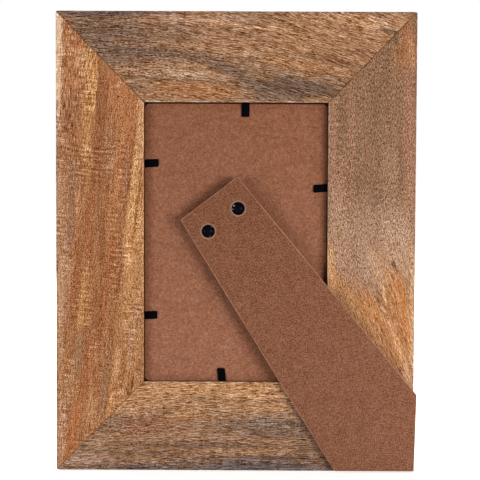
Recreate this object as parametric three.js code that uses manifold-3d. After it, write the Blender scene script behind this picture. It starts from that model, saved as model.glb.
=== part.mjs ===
// A mitred wooden picture frame seen from its back: four wide rails, a hardboard backing held by
// flexible points, and a tapered easel stand riveted to a small folding hinge.
// Millimetres. X runs to the right as seen from behind, +Y is the front, +Z is up.
// The origin is the middle of the bottom edge that the frame stands on.

import * as THREE from 'three';
import { mergeVertices } from 'three/addons/utils/BufferGeometryUtils.js';
import Module from 'manifold-3d';

const wasm = await Module();
wasm.setup();

// Moulding
const OPENING_WIDTH = 103; // between the stiles at the back, for a 4 x 6 inch picture
const OPENING_HEIGHT = 157;
const STILE_WIDTH = 49.2; // the two upright sides, outer edge to opening
const RAIL_WIDTH = 50.5; // the top and bottom
const FRAME_THICKNESS = 18;
const SIGHT_LIP = 5; // how far a stile's front lip covers the glass
const EASED_RADIUS = 0.9; // rounding of the outer edges
const REAR_ARRIS = 0.3; // small flat along the opening's rear edge
const SIGHT_BEVEL = 1.5; // bevel along the front lip
const MITRE_GAP = 0.3; // glue line between two rails

// Biscuits, the hidden oval splines inside the mitres
const BISCUIT_LENGTH = 47;
const BISCUIT_WIDTH = 15;
const BISCUIT_THICKNESS = 4;
const BISCUIT_TIP = 3; // blunt end's width
const GLUE_CLEARANCE = 0.3; // round a biscuit and round a point's tang

// What the rabbet holds, counted from the back
const BOARD_RECESS = 3.6; // rear face of the frame to the backing
const BOARD_THICKNESS = 3;
const INSERT_THICKNESS = 0.3;
const GLASS_THICKNESS = 2;
const RESTING_GAP = 0.3; // under the backing, the glass and the card, which rest on the bottom rail
const BOARD_CLEARANCE = 0.7; // each side of the backing
const BOARD_HEADROOM = 1.1; // above the backing
const PANE_CLEARANCE = 1.2; // each side of the glass and the card
const PANE_HEADROOM = 1.9; // above the glass and the card
const BOARD_ARRIS = 0.3;

// Flexible points, thin steel strips shot into the rabbet wall and bent over the backing
const POINT_WIDTH = 4.5;
const POINT_THICKNESS = 0.5;
const POINT_TIP_RADIUS = 1;
const TANG_LENGTH = 6.5; // inside the wood
const BEND_GAP = 0.3; // wall to the bend line, which the blade turns about
const BLADE_SEAT = 0.1; // air between a blade and the backing

// Easel stand, placed from the middle of the frame
const STAND_THICKNESS = 3;
const STAND_CLEARANCE = 0.6; // between the folded stand and the back of the wood
const HEAD_X = -14.9; // middle of the stand's head edge
const HEAD_Z = 25;
const HEAD_WIDTH = 40;
const HINGE_SLOPE = 37.5; // degrees that the head edge and the hinge rise to the right
const LEFT_EDGE_LEAN = 31.6; // degrees from the vertical
const RIGHT_EDGE_LEAN = 39.6;
const SIDE_CUT_LEAN = 1.5;
const SIDE_CUT_PROUD = 0.1; // the foot's corner past the side of the frame
const STAND_LIFT = 0.75; // foot above the bottom edge
const STAND_CORNER_RADIUS = 0.8;
const STAND_ARRIS = 0.3;
const STAND_STOP = 40; // degrees of opening at which the head edge meets the backing

// Hinge under the stand's head
const KNUCKLE_CLEARANCE = 0.2; // knuckle to the backing and to the stand
const LEAF_THICKNESS = 0.8;
const HINGE_WIDTH = 30;
const HINGE_OFFSET = -1; // middle of the hinge from the middle of the head, along the head edge
const CENTRE_KNUCKLE_WIDTH = 10;
const KNUCKLE_END_GAP = 0.3;
const LEAF_NOTCH_GAP = 0.4; // a leaf's edge to the other leaf's knuckle
const PIN_CLEARANCE = 0.2;
const PIN_HEAD_RADIUS = 1.4;
const PIN_HEAD_THICKNESS = 0.5;
const PIN_END_GAP = 0.1;
const LEAF_CORNER_RADIUS = 2;
const LEAF_MARGIN = 5; // a leaf's end past its rivets

// Rivets
const SHANK_RADIUS = 1.5;
const SHANK_CLEARANCE = 0.3;
const STAND_RIVET_SPACING = 21;
const STAND_RIVET_FROM_HEAD = 14.4; // below the head edge
const DOME_RADIUS = 3.7;
const DOME_RIM_WIDTH = 0.3;
const DOME_RIM_THICKNESS = 0.25;
const DOME_HEIGHT = 1.6;
const TAIL_RADIUS = 2.5;
const TAIL_HEIGHT = 0.7;
const BACKING_RIVET_SPACING = 14;
const BACKING_RIVET_FROM_AXIS = 20;
const SUNK_HEAD_RADIUS = 3;
const SUNK_HEAD_DEPTH = 1.1;
const ROUNDED_END = 0.7; // flat end of a rolled or peened head, as a share of its radius
const CUT_OVERSHOOT = 1; // how far a cutter runs past the face it opens

// Each flexible point: its side, how far it is from the middle of that side (up or right), how
// many degrees its tip leans the same way, and how long its blade is
const POINTS = [
  { name: 'left_upper', side: 'left', along: 44.1, lean: 3.5, reach: 8.2 },
  { name: 'left_lower', side: 'left', along: -41.4, lean: 3, reach: 7.5 },
  { name: 'right_upper', side: 'right', along: 31, lean: -5, reach: 8 },
  { name: 'right_lower', side: 'right', along: -45, lean: -2, reach: 7.8 },
  { name: 'top', side: 'top', along: 5.2, lean: 0, reach: 8.1 },
  { name: 'bottom', side: 'bottom', along: -7.2, lean: -6.5, reach: 7.4 },
];

// Places worked out from the sizes above
const OUTER_WIDTH = OPENING_WIDTH + 2 * STILE_WIDTH;
const OUTER_HEIGHT = OPENING_HEIGHT + 2 * RAIL_WIDTH;
const REAR = -FRAME_THICKNESS / 2;
const FRONT = FRAME_THICKNESS / 2;
const BOARD_REAR = REAR + BOARD_RECESS;
const BOARD_FRONT = BOARD_REAR + BOARD_THICKNESS;
const INSERT_FRONT = BOARD_FRONT + INSERT_THICKNESS;
const LEDGE = INSERT_FRONT + GLASS_THICKNESS;
const BLADE_MIDDLE = BOARD_REAR - BLADE_SEAT - POINT_THICKNESS / 2;
const STAND_UNDER = REAR - STAND_CLEARANCE;
const HINGE_SPACE = BOARD_REAR - STAND_UNDER; // backing to the underside of the stand
const HINGE_Y = (BOARD_REAR + STAND_UNDER) / 2;
const KNUCKLE_RADIUS = HINGE_SPACE / 2 - KNUCKLE_CLEARANCE;
const KNUCKLE_BORE = KNUCKLE_RADIUS - LEAF_THICKNESS;
const HEAD_INSET = HINGE_SPACE / 2 / Math.tan(THREE.MathUtils.degToRad(STAND_STOP / 2));
const STAND_RIVET_Z = HEAD_INSET - STAND_RIVET_FROM_HEAD; // in the hinge's own axes
const BACKING_RIVET_Z = -BACKING_RIVET_FROM_AXIS;

const WOOD = { color: 0xa2744f, roughness: 0.6, metalness: 0 };
const PALE_WOOD = { color: 0xc9a878, roughness: 0.7, metalness: 0 };
const HARDBOARD = { color: 0x925f47, roughness: 0.8, metalness: 0 };
const CARD = { color: 0xe9e2d2, roughness: 0.9, metalness: 0 };
const GLASS = { color: 0xdfeae6, roughness: 0.05, metalness: 0, transparent: true, opacity: 0.35 };
const BLACK_STEEL = { color: 0x17161a, roughness: 0.4, metalness: 0.6 };
const BLACK_GLOSS = { color: 0x0c0b0c, roughness: 0.15, metalness: 0.3 };
const ZINC = { color: 0xa9abac, roughness: 0.35, metalness: 0.9 };

const radians = THREE.MathUtils.degToRad;

function mesh(name, geometry, finish) {
  const result = new THREE.Mesh(geometry, new THREE.MeshStandardMaterial(finish));
  result.name = name;
  return result;
}

function toSolid(geometry) {
  const bare = geometry.clone();
  bare.deleteAttribute('normal');
  bare.deleteAttribute('uv');
  const merged = mergeVertices(bare);
  return new wasm.Manifold(new wasm.Mesh({
    numProp: 3,
    vertProperties: new Float32Array(merged.attributes.position.array),
    triVerts: new Uint32Array(merged.index.array),
  }));
}

function toGeometry(solid) {
  const { vertProperties, triVerts } = solid.getMesh();
  const indexed = new THREE.BufferGeometry();
  indexed.setAttribute('position', new THREE.BufferAttribute(vertProperties, 3));
  indexed.setIndex(new THREE.BufferAttribute(triVerts, 1));
  const geometry = indexed.toNonIndexed();
  geometry.computeVertexNormals();
  return geometry;
}

function cut(geometry, cutters) {
  const solids = cutters.map(toSolid);
  return toGeometry(solids.reduce((rest, cutter) => rest.subtract(cutter), toSolid(geometry)));
}

function join(geometries) {
  return toGeometry(geometries.map(toSolid).reduce((sum, part) => sum.add(part)));
}

// A flat outline in X and Z, with given corner radii, made solid from y = from to y = to
function plate(outline, from, to, { holes = [], arris = 0 } = {}) {
  outline.holes.push(...holes);
  const geometry = new THREE.ExtrudeGeometry(outline, {
    depth: to - from - 2 * arris,
    curveSegments: 6,
    bevelEnabled: arris > 0,
    bevelThickness: arris,
    bevelSize: arris,
    bevelOffset: -arris,
    bevelSegments: 1,
  });
  // The outline's second coordinate becomes Z, and the extrusion then runs towards the back
  return geometry.rotateX(Math.PI / 2).translate(0, to - arris, 0);
}

function roundedOutline(corners, radii) {
  const outline = new THREE.Shape();
  corners.forEach((corner, i) => {
    const before = corners.at(i - 1);
    const after = corners[(i + 1) % corners.length];
    const radius = Array.isArray(radii) ? radii[i] : radii;
    const start = before.clone().sub(corner).setLength(radius).add(corner);
    const end = after.clone().sub(corner).setLength(radius).add(corner);
    if (i === 0) outline.moveTo(start.x, start.y);
    else outline.lineTo(start.x, start.y);
    if (radius > 0) outline.quadraticCurveTo(corner.x, corner.y, end.x, end.y);
  });
  outline.closePath();
  return outline;
}

function rectangle(left, right, low, high, radii = 0) {
  const corners = [[left, low], [right, low], [right, high], [left, high]];
  return roundedOutline(corners.map(([x, z]) => new THREE.Vector2(x, z)), radii);
}

function roundHole(x, z, radius) {
  return new THREE.Path().absarc(x, z, radius, 0, 2 * Math.PI, true);
}

// A round piece on an axis along Y, from a profile of [radius, y] listed from front to back
function turned(profile, segments = 32) {
  const points = profile.map(([radius, y]) => new THREE.Vector2(radius, y)).reverse();
  return new THREE.LatheGeometry(points, segments);
}

// The four sides share one set of local axes: X along the side, Z from its outer edge inwards,
// with the middle of the frame as their origin. A direction of 1 means that local X runs up or
// right on the frame. `across` is the frame's size square to the side, and `meets` is how wide
// the sides are that it is mitred to.
const RAIL = { width: RAIL_WIDTH, span: OUTER_WIDTH, across: OUTER_HEIGHT, meets: STILE_WIDTH };
const STILE = { width: STILE_WIDTH, span: OUTER_HEIGHT, across: OUTER_WIDTH, meets: RAIL_WIDTH };
const SIDES = {
  bottom: { turn: 0, direction: 1, ...RAIL },
  top: { turn: 180, direction: -1, ...RAIL },
  left: { turn: 90, direction: -1, ...STILE },
  right: { turn: -90, direction: 1, ...STILE },
};

// Section of a side across its length: distance from the outer edge, then depth
function mouldingSection(width, lip) {
  const section = new THREE.Shape();
  section.moveTo(EASED_RADIUS, REAR);
  section.lineTo(width - REAR_ARRIS, REAR);
  section.lineTo(width, REAR + REAR_ARRIS);
  section.lineTo(width, LEDGE);
  section.lineTo(width + lip, LEDGE);
  section.lineTo(width + lip, FRONT - SIGHT_BEVEL);
  section.lineTo(width + lip - SIGHT_BEVEL, FRONT);
  section.lineTo(EASED_RADIUS, FRONT);
  section.absarc(EASED_RADIUS, FRONT - EASED_RADIUS, EASED_RADIUS, Math.PI / 2, Math.PI);
  section.absarc(EASED_RADIUS, REAR + EASED_RADIUS, EASED_RADIUS, Math.PI, 1.5 * Math.PI);
  return section;
}

// The section is swept along the side and each end is sheared onto the mitre, which runs from the
// frame's outer corner through the corner of the opening
function mitredSide({ width, span, across, meets }) {
  const section = mouldingSection(width, SIGHT_LIP * width / STILE_WIDTH);
  const geometry = new THREE.ExtrudeGeometry(section, { depth: 1, bevelEnabled: false, curveSegments: 4 });
  const position = geometry.attributes.position;
  const glueLine = MITRE_GAP / 2 * Math.hypot(1, meets / width);
  for (let i = 0; i < position.count; i += 1) {
    const inwards = position.getX(i);
    const end = position.getZ(i) > 0 ? -1 : 1;
    const half = span / 2 - inwards * meets / width - glueLine;
    position.setXYZ(i, end * half, position.getY(i), inwards - across / 2);
  }
  return geometry;
}

// Oval with blunt ends, long axis along X
function biscuit(clearance) {
  const half = BISCUIT_LENGTH / 2 + clearance;
  const crown = BISCUIT_WIDTH / 2 + clearance;
  const tip = BISCUIT_TIP / 2 + clearance;
  const rise = crown - tip;
  const radius = (half * half + rise * rise) / (2 * rise);
  const sweep = Math.asin(half / radius);
  const outline = new THREE.Shape();
  outline.absarc(0, crown - radius, radius, Math.PI / 2 - sweep, Math.PI / 2 + sweep);
  outline.absarc(0, radius - crown, radius, 1.5 * Math.PI - sweep, 1.5 * Math.PI + sweep);
  outline.closePath();
  const thick = BISCUIT_THICKNESS / 2 + clearance;
  return plate(outline, -thick, thick);
}

// Corners in turn: where a biscuit's middle lies and how its mitre runs
function cornerMatrix(right, up) {
  const x = right * (OUTER_WIDTH - STILE_WIDTH) / 2;
  const z = up * (OUTER_HEIGHT - RAIL_WIDTH) / 2;
  const slope = Math.atan2(up * RAIL_WIDTH, right * STILE_WIDTH);
  return new THREE.Matrix4().makeRotationY(-slope).setPosition(x, 0, z);
}

const CORNERS = [
  { name: 'top_left_biscuit', right: -1, up: 1 },
  { name: 'top_right_biscuit', right: 1, up: 1 },
  { name: 'bottom_left_biscuit', right: -1, up: -1 },
  { name: 'bottom_right_biscuit', right: 1, up: -1 },
];

// A strip leaving the wall along Z: its root edge follows the wall and its sides lean
function pointOutline(along, from, to, lean, width, tipRadius) {
  const shift = Math.tan(radians(lean));
  const corner = (side, z) => new THREE.Vector2(along + side * width / 2 + z * shift, z);
  const corners = [corner(-1, from), corner(1, from), corner(1, to), corner(-1, to)];
  return roundedOutline(corners, [0, 0, tipRadius, tipRadius]);
}

function pointPieces({ name, along, lean, reach }, side) {
  const place = side.direction * along;
  const slant = side.direction * lean;
  const wall = side.width - side.across / 2;
  const strip = (from, to, tipRadius, clearance) => {
    const width = POINT_WIDTH + 2 * clearance;
    const half = POINT_THICKNESS / 2 + clearance;
    const outline = pointOutline(place, from - clearance, to + clearance, slant, width, tipRadius);
    return plate(outline, BLADE_MIDDLE - half, BLADE_MIDDLE + half).translate(0, 0, wall);
  };
  return {
    blade: mesh(`${name}_point_blade`, strip(BEND_GAP, reach, POINT_TIP_RADIUS, 0), BLACK_STEEL),
    tang: mesh(`${name}_point_tang`, strip(-TANG_LENGTH, 0, 0, 0), BLACK_STEEL),
    slot: strip(-TANG_LENGTH, 0, 0, GLUE_CLEARANCE),
  };
}

function frameSide(sideName, meshName) {
  const side = SIDES[sideName];
  const group = new THREE.Group();
  group.rotation.y = radians(side.turn);
  group.updateMatrix();
  const toLocal = group.matrix.clone().invert();
  const points = POINTS.filter((point) => point.side === sideName).map((point) => pointPieces(point, side));
  const biscuitSlots = CORNERS.map(({ right, up }) => (
    biscuit(GLUE_CLEARANCE).applyMatrix4(cornerMatrix(right, up)).applyMatrix4(toLocal)));
  const wood = cut(mitredSide(side), [...points.map((point) => point.slot), ...biscuitSlots]);
  group.add(mesh(meshName, wood, WOOD));
  points.forEach(({ blade, tang }) => group.add(tang, blade));
  return group;
}

function cornerBiscuits() {
  return CORNERS.map(({ name, right, up }) => {
    const piece = mesh(name, biscuit(0), PALE_WOOD);
    cornerMatrix(right, up).decompose(piece.position, piece.quaternion, piece.scale);
    return piece;
  });
}

// Outline of a piece that lies in the opening, its clearance on each side and above it given
function inOpening(clearance, headroom) {
  const half = OPENING_WIDTH / 2 - clearance;
  return rectangle(-half, half, RESTING_GAP - OPENING_HEIGHT / 2, OPENING_HEIGHT / 2 - headroom);
}

function glazing() {
  const pane = () => inOpening(PANE_CLEARANCE, PANE_HEADROOM);
  return [
    mesh('glass_pane', plate(pane(), INSERT_FRONT, LEDGE), GLASS),
    mesh('picture_insert_card', plate(pane(), BOARD_FRONT, INSERT_FRONT), CARD),
  ];
}

// An offset in the hinge's axes, X along its pin and Z towards the stand's head edge, turned into
// the frame's
function alongHinge(x, z) {
  return new THREE.Vector2(x, z).rotateAround(new THREE.Vector2(), radians(HINGE_SLOPE));
}

// The hinge's axes have their origin in the middle of its pin
function hingeGroup() {
  const group = new THREE.Group();
  group.rotation.y = -radians(HINGE_SLOPE);
  const inset = alongHinge(HINGE_OFFSET, -HEAD_INSET);
  group.position.set(HEAD_X + inset.x, HINGE_Y, HEAD_Z + inset.y);
  group.updateMatrix();
  return group;
}

const BACKING_RIVETS = [-1, 1].map((side) => [side * BACKING_RIVET_SPACING / 2, BACKING_RIVET_Z]);
const STAND_RIVETS = [-1, 1].map((side) => [side * STAND_RIVET_SPACING / 2, STAND_RIVET_Z]);

// Backing with two countersunk holes for the hinge's rivets
function backingBoard(hinge) {
  const outline = inOpening(BOARD_CLEARANCE, BOARD_HEADROOM);
  const board = plate(outline, BOARD_REAR, BOARD_FRONT, { arris: BOARD_ARRIS });
  const hole = SHANK_RADIUS + SHANK_CLEARANCE;
  const front = BOARD_FRONT - HINGE_Y;
  const rear = BOARD_REAR - HINGE_Y;
  const sink = SUNK_HEAD_RADIUS + SHANK_CLEARANCE;
  const profile = [
    [0, front + CUT_OVERSHOOT], [sink, front + CUT_OVERSHOOT], [sink, front],
    [hole, front - SUNK_HEAD_DEPTH], [hole, rear - CUT_OVERSHOOT], [0, rear - CUT_OVERSHOOT],
  ];
  const holes = BACKING_RIVETS.map(([x, z]) => (
    turned(profile).translate(x, 0, z).applyMatrix4(hinge.matrix)));
  return mesh('backing_board', cut(board, holes), HARDBOARD);
}

// Where two lines cross, each given by a point and its lean from the vertical, running down right
function crossing(a, leanA, b, leanB) {
  const slopeA = Math.tan(radians(leanA));
  const slopeB = Math.tan(radians(leanB));
  const z = (b.x - a.x + slopeB * b.y - slopeA * a.y) / (slopeB - slopeA);
  return new THREE.Vector2(a.x + slopeA * (a.y - z), z);
}

// Tapered stand, cut level at its foot and near upright at the side, for standing both ways up
function easelStand(hinge) {
  const centre = new THREE.Vector2(HEAD_X, HEAD_Z);
  const halfHead = alongHinge(HEAD_WIDTH / 2, 0);
  const headLeft = centre.clone().sub(halfHead);
  const headRight = centre.clone().add(halfHead);
  const foot = STAND_LIFT - OUTER_HEIGHT / 2;
  const footRight = new THREE.Vector2(OUTER_WIDTH / 2 + SIDE_CUT_PROUD, foot);
  const drift = (headLeft.y - foot) * Math.tan(radians(LEFT_EDGE_LEAN));
  const footLeft = new THREE.Vector2(headLeft.x + drift, foot);
  const sideTop = crossing(headRight, RIGHT_EDGE_LEAN, footRight, -SIDE_CUT_LEAN);
  const toHinge = (point) => point.clone()
    .sub(new THREE.Vector2(hinge.position.x, hinge.position.z))
    .rotateAround(new THREE.Vector2(), -radians(HINGE_SLOPE));
  const outline = roundedOutline(
    [headLeft, footLeft, footRight, sideTop, headRight].map(toHinge), STAND_CORNER_RADIUS);
  const holes = STAND_RIVETS.map(([x, z]) => roundHole(x, z, SHANK_RADIUS + SHANK_CLEARANCE));
  const under = STAND_UNDER - HINGE_Y;
  const board = plate(outline, under - STAND_THICKNESS, under, { holes, arris: STAND_ARRIS });
  return mesh('easel_stand', board, HARDBOARD);
}

function knuckle(from, to) {
  const ring = new THREE.Shape().absarc(0, 0, KNUCKLE_RADIUS, 0, 2 * Math.PI);
  ring.holes.push(roundHole(0, 0, KNUCKLE_BORE));
  const options = { depth: to - from, bevelEnabled: false, curveSegments: 16 };
  return new THREE.ExtrudeGeometry(ring, options).rotateY(Math.PI / 2).translate(from, 0, 0);
}

// A leaf hangs below the pin; tabs that reach up to the pin carry its knuckles
function hingeLeaf(name, knuckles, side, rivets, finish) {
  const half = HINGE_WIDTH / 2;
  const shoulder = -KNUCKLE_RADIUS - LEAF_NOTCH_GAP;
  const end = rivets[0][1] - LEAF_MARGIN;
  const faces = [side * KNUCKLE_RADIUS, side * KNUCKLE_BORE].sort((a, b) => a - b);
  const holes = rivets.map(([x, z]) => roundHole(x, z, SHANK_RADIUS + SHANK_CLEARANCE));
  const outline = rectangle(-half, half, end, shoulder, [LEAF_CORNER_RADIUS, LEAF_CORNER_RADIUS, 0, 0]);
  const body = plate(outline, ...faces, { holes });
  const tabs = knuckles.map(([from, to]) => (
    plate(rectangle(from, to, shoulder - LEAF_THICKNESS, 0), ...faces)));
  const barrels = knuckles.map(([from, to]) => knuckle(from, to));
  return mesh(name, join([body, ...tabs, ...barrels]), finish);
}

function hingePin() {
  const half = HINGE_WIDTH / 2 + PIN_END_GAP;
  const radius = KNUCKLE_BORE - PIN_CLEARANCE;
  const end = half + PIN_HEAD_THICKNESS;
  const headMiddle = half + PIN_HEAD_THICKNESS / 2;
  const firstHalf = [
    [0, end], [PIN_HEAD_RADIUS * ROUNDED_END, end], [PIN_HEAD_RADIUS, headMiddle],
    [PIN_HEAD_RADIUS, half], [radius, half],
  ];
  const profile = [...firstHalf, ...firstHalf.map(([r, y]) => [r, -y]).reverse()];
  return mesh('hinge_pin', turned(profile, 24).rotateZ(-Math.PI / 2), ZINC);
}

// Domed black head outside the stand, shank through stand and leaf, rolled tail inside
function standRivet(name, x, z) {
  const face = STAND_UNDER - HINGE_Y - STAND_THICKNESS;
  const inner = -KNUCKLE_BORE;
  const base = DOME_RADIUS - DOME_RIM_WIDTH;
  const domeRadius = (base * base + DOME_HEIGHT * DOME_HEIGHT) / (2 * DOME_HEIGHT);
  const top = face - DOME_RIM_THICKNESS - DOME_HEIGHT;
  const steps = 6;
  const dome = Array.from({ length: steps + 1 }, (_, i) => {
    const angle = Math.asin(base / domeRadius) * (1 - i / steps);
    return [i === steps ? 0 : domeRadius * Math.sin(angle), top + domeRadius * (1 - Math.cos(angle))];
  });
  const profile = [
    [0, inner + TAIL_HEIGHT], [TAIL_RADIUS * ROUNDED_END, inner + TAIL_HEIGHT],
    [TAIL_RADIUS, inner + TAIL_HEIGHT / 2], [TAIL_RADIUS, inner], [SHANK_RADIUS, inner],
    [SHANK_RADIUS, face], [DOME_RADIUS, face], [DOME_RADIUS, face - DOME_RIM_THICKNESS], ...dome,
  ];
  const piece = mesh(name, turned(profile), BLACK_GLOSS);
  piece.position.set(x, 0, z);
  return piece;
}

// Countersunk flush in the front of the backing, with its rolled tail on the fixed leaf
function backingRivet(name, x, z) {
  const front = BOARD_FRONT - HINGE_Y;
  const inner = KNUCKLE_BORE;
  const profile = [
    [0, front], [SUNK_HEAD_RADIUS, front], [SHANK_RADIUS, front - SUNK_HEAD_DEPTH],
    [SHANK_RADIUS, inner], [TAIL_RADIUS, inner], [TAIL_RADIUS, inner - TAIL_HEIGHT / 2],
    [TAIL_RADIUS * ROUNDED_END, inner - TAIL_HEIGHT], [0, inner - TAIL_HEIGHT],
  ];
  const piece = mesh(name, turned(profile), ZINC);
  piece.position.set(x, 0, z);
  return piece;
}

function standAndHinge(hinge) {
  const half = HINGE_WIDTH / 2;
  const centre = CENTRE_KNUCKLE_WIDTH / 2;
  const outer = centre + KNUCKLE_END_GAP;
  hinge.add(
    easelStand(hinge),
    hingeLeaf('stand_hinge_leaf', [[-centre, centre]], -1, STAND_RIVETS, ZINC),
    hingeLeaf('backing_hinge_leaf', [[-half, -outer], [outer, half]], 1, BACKING_RIVETS, ZINC),
    hingePin(),
    ...STAND_RIVETS.map(([x, z], i) => standRivet(`stand_rivet_${i + 1}`, x, z)),
    ...BACKING_RIVETS.map(([x, z], i) => backingRivet(`backing_rivet_${i + 1}`, x, z)),
  );
  return hinge;
}

const frame = new THREE.Group();
frame.position.z = OUTER_HEIGHT / 2;
const hinge = hingeGroup();
frame.add(
  frameSide('left', 'left_stile'),
  frameSide('right', 'right_stile'),
  frameSide('top', 'top_rail'),
  frameSide('bottom', 'bottom_rail'),
  ...cornerBiscuits(),
  ...glazing(),
  backingBoard(hinge),
  standAndHinge(hinge),
);

export default frame;
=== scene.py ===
import math

import bmesh
import bpy
from mathutils import Matrix, Vector, noise


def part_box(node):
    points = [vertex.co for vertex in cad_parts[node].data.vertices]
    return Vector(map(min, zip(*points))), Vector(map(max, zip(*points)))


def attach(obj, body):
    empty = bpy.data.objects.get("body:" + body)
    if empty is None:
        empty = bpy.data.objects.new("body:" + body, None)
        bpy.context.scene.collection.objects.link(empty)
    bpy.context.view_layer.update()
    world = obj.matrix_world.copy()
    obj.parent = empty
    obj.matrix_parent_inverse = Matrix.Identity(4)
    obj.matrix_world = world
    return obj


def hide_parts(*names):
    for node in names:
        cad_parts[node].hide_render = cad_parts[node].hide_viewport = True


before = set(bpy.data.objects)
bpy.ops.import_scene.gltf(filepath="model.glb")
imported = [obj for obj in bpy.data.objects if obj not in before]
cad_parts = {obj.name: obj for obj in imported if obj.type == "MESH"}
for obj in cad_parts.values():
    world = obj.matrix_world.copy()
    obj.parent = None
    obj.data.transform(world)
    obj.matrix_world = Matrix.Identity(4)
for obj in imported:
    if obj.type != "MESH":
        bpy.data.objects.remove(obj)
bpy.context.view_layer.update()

# The looks of a mitred wooden picture frame seen from its back. Metres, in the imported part's frame:
# X to the right as seen from behind, +Y the picture side, +Z up, the frame standing on Z = 0.

MM = 0.001

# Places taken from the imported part
LEFT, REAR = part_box("left_stile")[0].xy
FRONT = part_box("left_stile")[1].y
RIGHT = -LEFT
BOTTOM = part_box("bottom_rail")[0].z
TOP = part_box("top_rail")[1].z
MIDDLE = (BOTTOM + TOP) / 2
BOARD_LOW, BOARD_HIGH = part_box("backing_board")
PANE_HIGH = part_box("glass_pane")[1]

# Moulding of the four sides
BOARD_CLEARANCE = 0.7 * MM
RESTING_GAP = 0.3 * MM
WALL_X = BOARD_HIGH.x + BOARD_CLEARANCE
WALL_Z = MIDDLE - BOARD_LOW.z + RESTING_GAP
LIP_X = -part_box("left_stile")[1].x
LIP_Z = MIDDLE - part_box("bottom_rail")[1].z
LEDGE = PANE_HIGH.y
BACKING_DEPTH = (BOARD_LOW.y - REAR) / MM  # in millimetres from the frame's rear face
LEDGE_DEPTH = (LEDGE - REAR) / MM
EASED_RADIUS = 0.9 * MM
REAR_ARRIS = 0.35 * MM
SIGHT_BEVEL = 1.5 * MM
GLUE_LINE = 0.16 * MM
MITRE_EASE = 0.06 * MM
STATION = 4 * MM  # between two sections of a side
EDGE_WEAR = 0.12 * MM
WEAR_SCALE = (90, 400, 300)  # along a side, across it and through it
CORNER_ROUND = 1.2 * MM
CORNER_STATIONS = (1.0, 0.6, 0.3)  # more sections near each end, in shares of the corner's round
SECTION_STEPS = 8

# Boards, points and rivets
BOARD_CORNER = 2.4 * MM
BOARD_SPREAD = 0.25 * MM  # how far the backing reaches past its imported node
BOARD_ARRIS = 0.2 * MM
BOARD_SEAT = 0.2 * MM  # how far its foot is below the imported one
STAND_ARRIS = 0.35 * MM
BLADE_ARRIS = 0.08 * MM
SHANK_RADIUS = 1.5 * MM
TAIL_RADIUS = 2.5 * MM
TAIL_HEIGHT = 0.7 * MM
TAIL_END = 0.7  # flat end of the tail, as a share of its radius
RIM_WIDTH = 0.3 * MM
RIM_BREAK = 0.05 * MM
ROUND_STEPS = 96
DOME_STEPS = 24

# Painted glints on each rivet's dome: place from the axis and radius in millimetres, and tone
RIVET_GLINTS = {
    "stand_rivet_1": [(0.9, -2.8, 0.4, (96, 80, 74)), (1.7, 2.7, 0.4, (92, 76, 72))],
    "stand_rivet_2": [(-2.3, 1.6, 0.5, (172, 166, 162)), (-3.0, -0.4, 0.5, (128, 118, 112))],
}

# The camera stands where the photograph's did, looking slightly down
CAMERA_TARGET = Vector((0, REAR, MIDDLE))
CAMERA_DISTANCE = 0.85
CAMERA_AZIMUTH = math.radians(0.36)
CAMERA_ELEVATION = math.radians(3.33)
CAMERA_ROLL = math.radians(0.25)
CAMERA_LENS = 113.78
AIM_OFFSET = Vector((2.47, 0, 1.6)) * MM

# Each lamp's place, width and height, and its power in watts
SOFTBOXES = {
    "right_softbox": ((0.82, -0.82, 0.14), 0.7, 0.3, 12.2),
    "left_softbox": ((-1.0, -0.72, 0.14), 0.5, 0.35, 7.8),
    "picture_side_softbox": ((-0.5, 1.15, 0.5), 0.8, 0.6, 12.8),
    "top_softbox": ((0, 0.16, 1.0), 0.9, 0.24, 5.0),
}
AMBIENT = 0.07
FLOOR_SIZE = 8.0
FLOOR_DROP = 0.2 * MM
FLOOR_GLOW = 0.74  # under the object, rising to 1 between these two distances
FLOOR_GLOW_RISE = (0.3, 1.2)

# Tones, as screen values from 0 to 255
RABBET_SHADE_TONE = (58, 28, 14)
BACKING_TONE = (136, 89, 66)
STAND_TONE = (119, 76, 54)
CUT_EDGE_TONE = (164, 118, 96)
HAIR_TONE = (190, 142, 116)
BURNISHED_TONE = (156, 130, 112)
ENAMEL_TONE = (5, 5, 7)
RUBBED_TONE = (60, 58, 58)
LACQUER_TONE = (6, 3, 3)
CROWN_TONE = (4, 7, 20)
ZINC_TONE = (176, 176, 172)
DULL_ZINC_TONE = (196, 194, 184)
BEECH_TONE = (206, 172, 124)
CARD_TONE = (236, 229, 213)
KEYLINE_TONE = (176, 152, 110)
FLOOR_TONE = (247, 247, 247)

# Colours that are linear already
WHITE = (1, 1, 1, 1)
CLEAR_GLASS = (0.96, 0.985, 0.975, 1.0)

# Specks in hardboard: spacing and radius in millimetres, share of the places that have one, and tone
SPECKS = [(3.4, 0.5, 0.35, (88, 52, 38)), (8.0, 0.4, 0.3, (204, 158, 132))]
HAIR_SLANTS = (1.3, -0.8)

# Sizes of the wood's noises in millimetres: along the grain and across it
WANDER_SIZE = (45, 16)
WIGGLE_SIZE = (6, 3)
HUE_SIZE = (60, 6)
COARSE_FRAY_SIZE = (12, 2.4)
FINE_FRAY_SIZE = (3, 0.9)
RIPPLE_SIZE = (1.3, 7)
RIPPLE_AREA_SIZE = (26, 12)

# How the wood's and the hardboard's tones vary, as powers of two
WOOD_DARK_REACH = 1.1
HARDBOARD_DARK_REACH = 0.5
WOOD_LIFT = (0.95, 1.45, 2.15)
WOOD_CAST = (0.0, 0.06, 0.12)
ARRIS_HIGHLIGHT = 0.45
MITRE_STAIN = 0.8

KEYLINE_MARGIN = 16 * MM  # the card's printed line to the edge of the pane
DEPTH_SLANT = 0.8  # how far the grain leans sideways as it goes through the wood
SIDE_SEED_STEP = 37.0
PATCHES_AT_ONCE = 12
THIN_PATCH = 2.5  # width in millimetres below which a patch keeps its outline
PATCH_SOFTNESS = 0.5


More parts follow.
